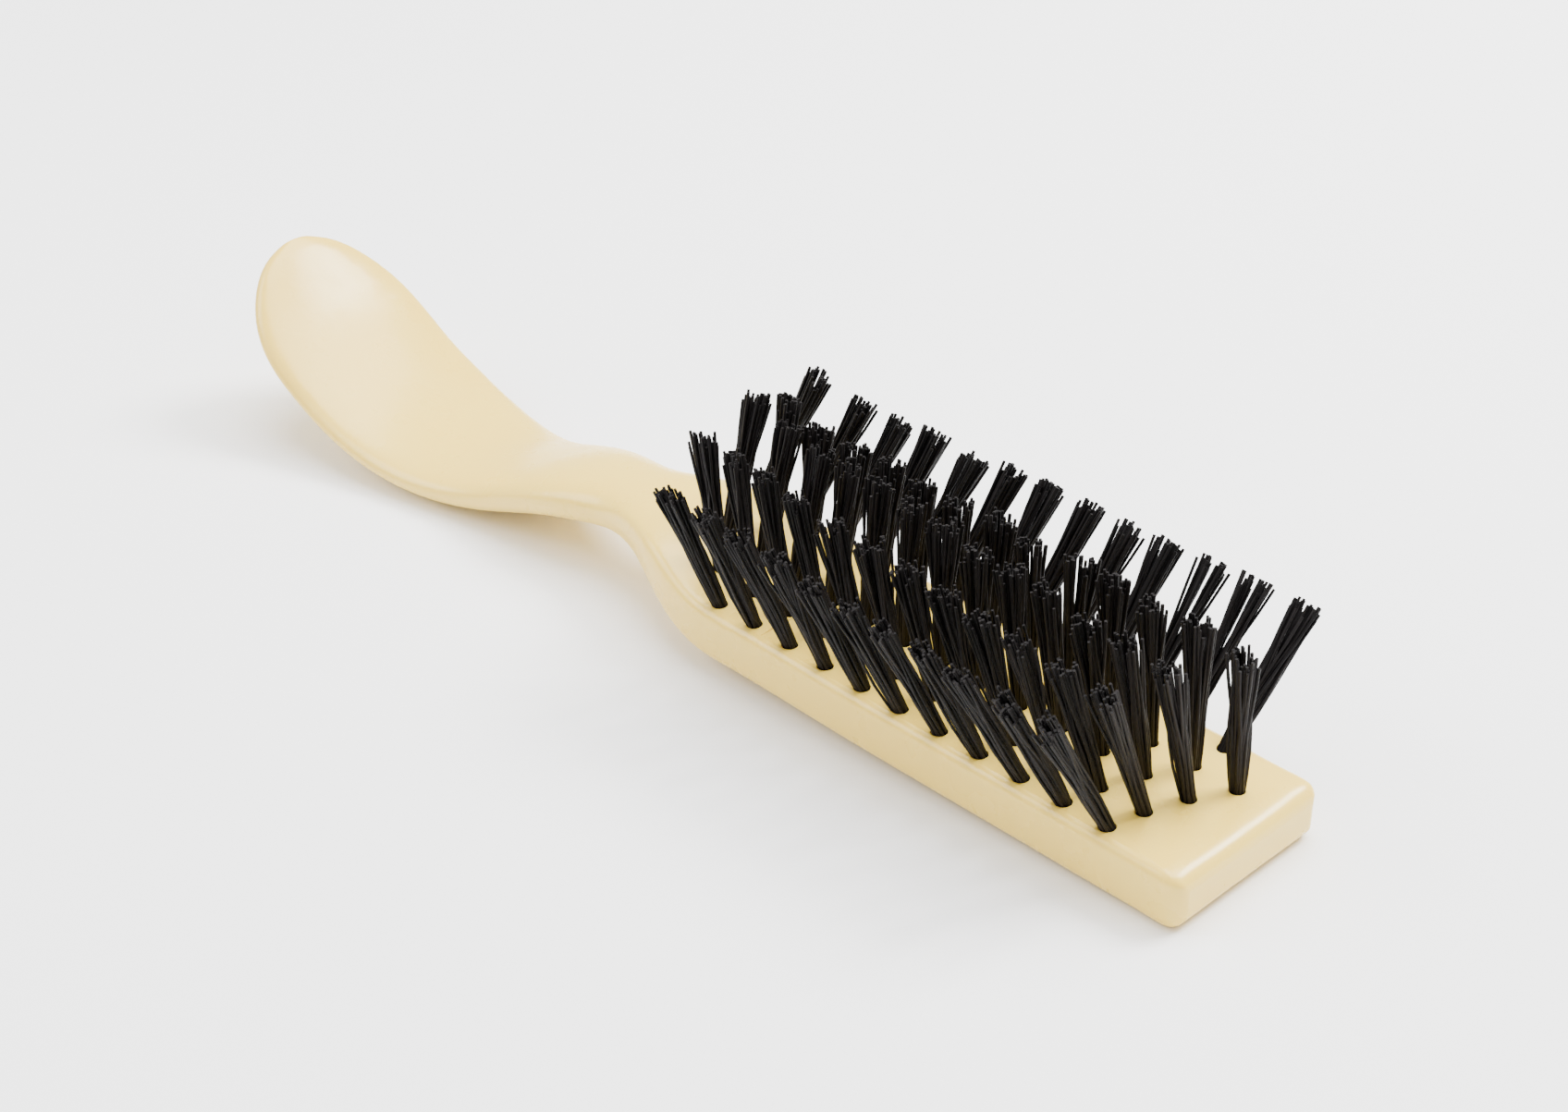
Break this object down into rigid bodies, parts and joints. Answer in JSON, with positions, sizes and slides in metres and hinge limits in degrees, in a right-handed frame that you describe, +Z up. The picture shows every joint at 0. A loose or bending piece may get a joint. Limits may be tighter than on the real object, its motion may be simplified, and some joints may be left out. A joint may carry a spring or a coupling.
{
  "type": "bee brush",
  "caption": "Moulded plastic hand brush with a curved paddle handle and a flat head of leaning nylon bristle tufts, lying on its back.",
  "frame": {"origin": "middle of the underside of the brush's bounding box, on the surface that the brush lies on", "axes": "+X towards the tip of the head, +Y across the head, +Z up, the way the bristles point"},
  "size_m": [0.1911, 0.047, 0.0327],
  "materials": {
    "ivory_plastic": "smooth moulded gloss",
    "black_nylon": "satin drawn nylon",
    "anchor_metal": "cut flat wire"
  },
  "bodies": {
    "root": {"anchors": "anchor_metal", "handle": "ivory_plastic", "neck_end_tufts": "black_nylon", "tuft_a_01": "black_nylon", "tuft_a_02": "black_nylon", "tuft_a_03": "black_nylon", "tuft_a_04": "black_nylon", "tuft_a_05": "black_nylon", "tuft_a_06": "black_nylon", "tuft_a_07": "black_nylon", "tuft_a_08": "black_nylon", "tuft_a_09": "black_nylon", "tuft_a_10": "black_nylon", "tuft_a_11": "black_nylon", "tuft_b_01": "black_nylon", "tuft_b_02": "black_nylon", "tuft_b_03": "black_nylon", "tuft_b_04": "black_nylon", "tuft_b_05": "black_nylon", "tuft_b_06": "black_nylon", "tuft_b_07": "black_nylon", "tuft_b_08": "black_nylon", "tuft_b_09": "black_nylon", "tuft_b_10": "black_nylon", "tuft_b_11": "black_nylon", "tuft_c_01": "black_nylon", "tuft_c_02": "black_nylon", "tuft_c_03": "black_nylon", "tuft_c_04": "black_nylon", "tuft_c_05": "black_nylon", "tuft_c_06": "black_nylon", "tuft_c_07": "black_nylon", "tuft_c_08": "black_nylon", "tuft_c_09": "black_nylon", "tuft_c_10": "black_nylon", "tuft_c_11": "black_nylon", "tuft_d_01": "black_nylon", "tuft_d_02": "black_nylon", "tuft_d_03": "black_nylon", "tuft_d_04": "black_nylon", "tuft_d_05": "black_nylon", "tuft_d_06": "black_nylon", "tuft_d_07": "black_nylon", "tuft_d_08": "black_nylon", "tuft_d_09": "black_nylon", "tuft_d_10": "black_nylon", "tuft_d_11": "black_nylon", "tuft_e_01": "black_nylon", "tuft_e_02": "black_nylon", "tuft_e_03": "black_nylon", "tuft_e_04": "black_nylon", "tuft_e_05": "black_nylon", "tuft_e_06": "black_nylon", "tuft_e_07": "black_nylon", "tuft_e_08": "black_nylon", "tuft_e_09": "black_nylon", "tuft_e_10": "black_nylon", "tuft_e_11": "black_nylon"}
  },
  "joints": []
}
